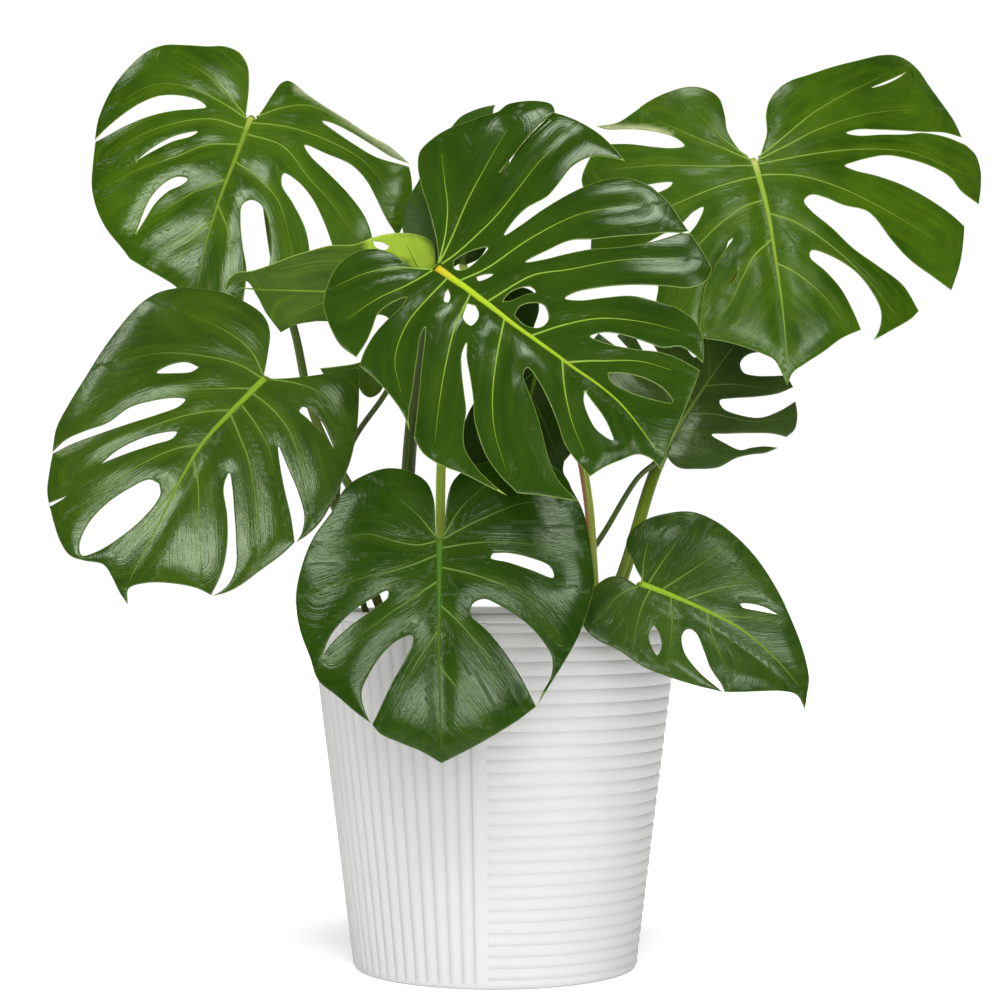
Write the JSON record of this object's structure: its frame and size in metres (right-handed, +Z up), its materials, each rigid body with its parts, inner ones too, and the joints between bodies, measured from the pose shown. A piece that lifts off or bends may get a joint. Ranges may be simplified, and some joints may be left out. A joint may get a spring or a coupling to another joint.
{
  "type": "potted monstera plant",
  "caption": "Swiss cheese plant with large split and holed leaves on long stalks, standing in soil in a tapered round pot that is half fluted and half ribbed.",
  "frame": {"origin": "middle of the flat underside of the pot, on the surface it stands on", "axes": "+Z up along the pot's axis, -Y towards the side that the leaves face, +X to the right seen from there"},
  "size_m": [0.6646, 0.3262, 0.6567],
  "materials": {
    "pot": "matt off-white, fluted and ribbed",
    "soil": "dark crumbly potting soil, mostly peat and bark",
    "leaf_light": "living leaf, leathery, waxy sheen, mid green with pale veins",
    "leaf_deep": "living leaf, leathery, waxy sheen, deep green with pale veins",
    "leaf_under": "living leaf seen from its paler, duller underside",
    "stalk": "smooth green leaf stalk, slightly glossy"
  },
  "bodies": {
    "root": {"pot": "pot", "soil": "soil", "leaf_upper_left": "leaf_light", "leaf_upper_right": "leaf_light", "leaf_front_middle": "leaf_light", "leaf_left": "leaf_deep", "leaf_hanging_front": "leaf_deep", "leaf_low_right": "leaf_deep", "leaf_right_rear": "leaf_deep", "leaf_turned_left": "leaf_under", "leaf_top_rear": "leaf_deep", "leaf_inner_middle": "leaf_deep", "stalk_upper_left": "stalk", "stalk_upper_right": "stalk", "stalk_front_middle": "stalk", "stalk_left": "stalk", "stalk_hanging_front": "stalk", "stalk_low_right": "stalk", "stalk_right_rear": "stalk", "stalk_turned_left": "stalk", "stalk_top_rear": "stalk", "stalk_inner_middle": "stalk"}
  },
  "joints": []
}
